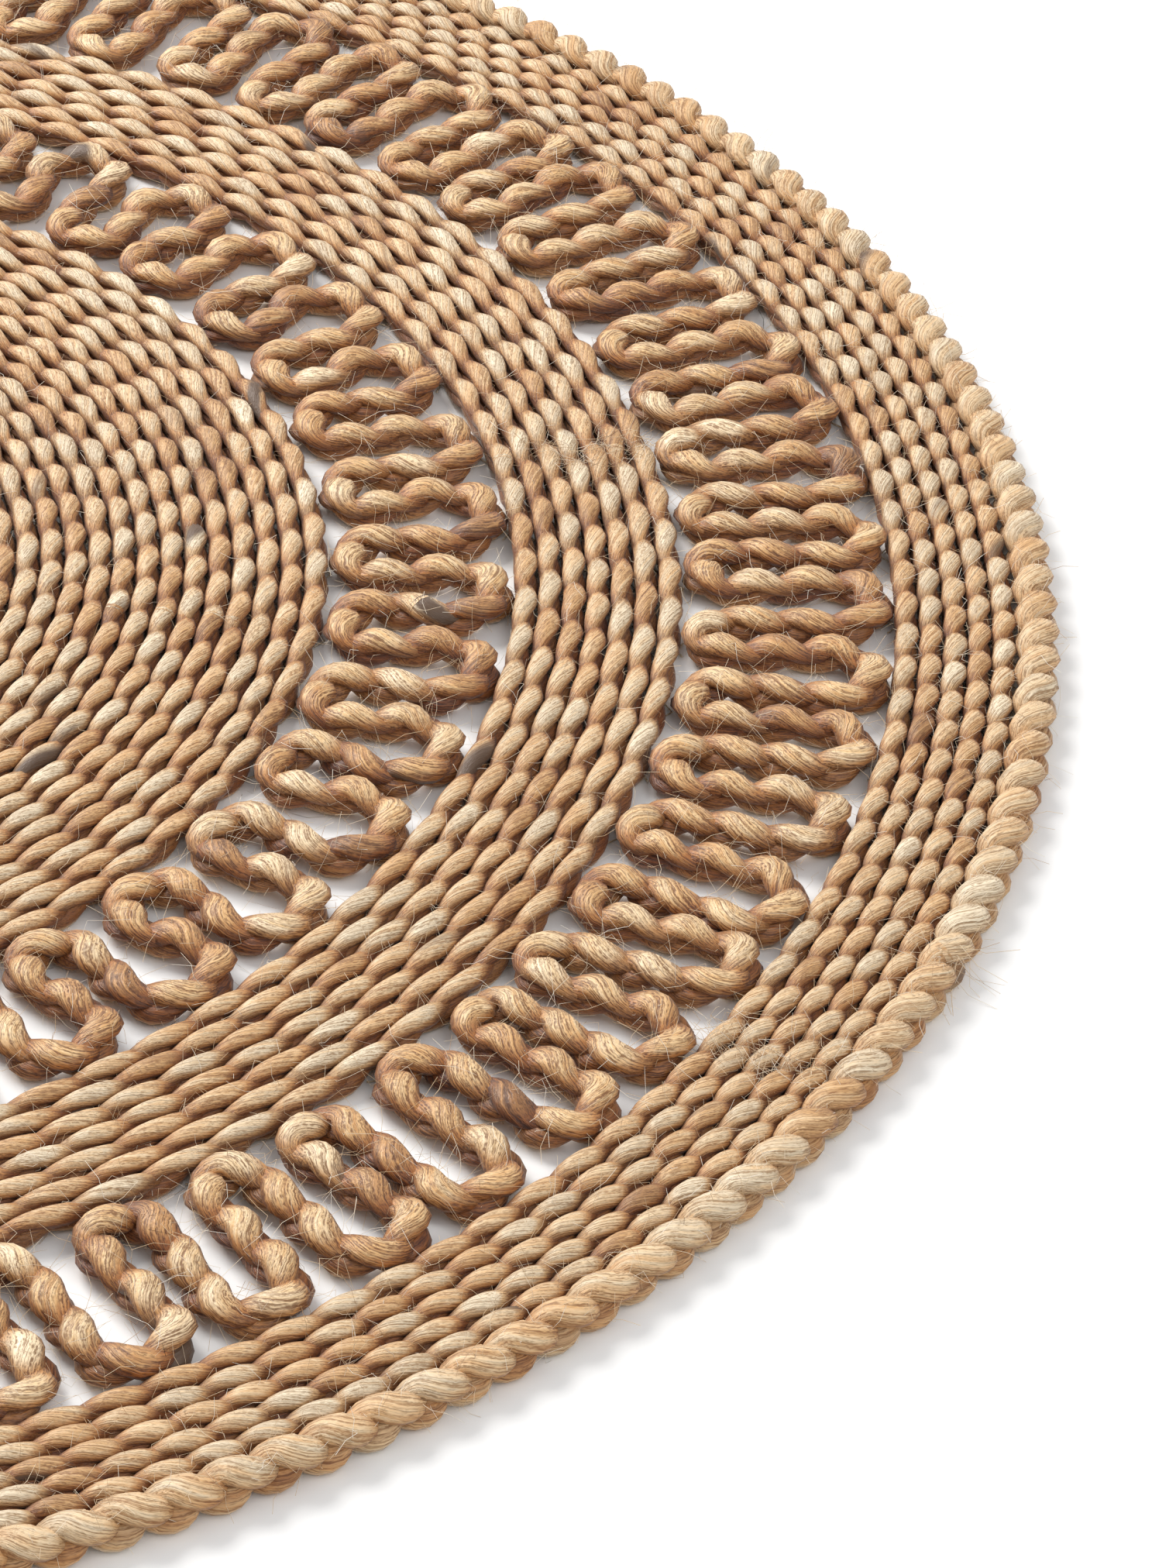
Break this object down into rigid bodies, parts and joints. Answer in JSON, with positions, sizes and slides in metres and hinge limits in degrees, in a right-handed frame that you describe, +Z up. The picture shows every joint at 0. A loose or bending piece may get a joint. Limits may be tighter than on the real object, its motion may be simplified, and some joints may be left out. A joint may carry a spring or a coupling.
{
  "type": "area rug",
  "caption": "Round natural-fibre rug of plaited braids on edge, sewn in concentric rows, with rings of open loops between solid bands and a thicker border braid",
  "frame": {"origin": "middle of the underside, on the floor", "axes": "+Z up, away from the floor; the rug is round in X and Y"},
  "size_m": [1.1996, 1.1996, 0.015],
  "materials": {
    "row_jute": "matt plaited jute with a slight sheen along the fibres",
    "loop_jute": "glossier golden plaited jute with dark fibres",
    "border_jute": "matt plaited jute, plump strands with loose fibres",
    "sewing_thread": "matt undyed twine"
  },
  "bodies": {
    "root": {"centre_coil": "row_jute", "centre_row_01": "row_jute", "centre_row_02": "row_jute", "centre_row_03": "row_jute", "centre_row_04": "row_jute", "centre_row_05": "row_jute", "centre_row_06": "row_jute", "centre_row_07": "row_jute", "centre_row_08": "row_jute", "centre_row_09": "row_jute", "centre_row_10": "row_jute", "centre_row_11": "row_jute", "centre_row_12": "row_jute", "centre_row_13": "row_jute", "centre_row_14": "row_jute", "centre_row_15": "row_jute", "centre_row_16": "row_jute", "centre_row_17": "row_jute", "centre_row_18": "row_jute", "centre_row_19": "row_jute", "centre_row_20": "row_jute", "centre_row_21": "row_jute", "centre_row_22": "row_jute", "centre_row_23": "row_jute", "centre_row_24": "row_jute", "centre_row_25": "row_jute", "centre_row_26": "row_jute", "centre_row_27": "row_jute", "centre_row_28": "row_jute", "centre_row_29": "row_jute", "centre_row_30": "row_jute", "centre_row_31": "row_jute", "centre_row_32": "row_jute", "middle_row_1": "row_jute", "middle_row_2": "row_jute", "middle_row_3": "row_jute", "middle_row_4": "row_jute", "middle_row_5": "row_jute", "middle_row_6": "row_jute", "middle_row_7": "row_jute", "outer_row_1": "row_jute", "outer_row_2": "row_jute", "outer_row_3": "row_jute", "outer_row_4": "row_jute", "outer_row_5": "row_jute", "inner_openwork": "loop_jute", "outer_openwork": "loop_jute", "border_braid": "border_jute", "centre_stitching": "sewing_thread", "middle_stitching": "sewing_thread", "outer_stitching": "sewing_thread", "inner_loop_stitches": "sewing_thread", "outer_loop_stitches": "sewing_thread"}
  },
  "joints": []
}
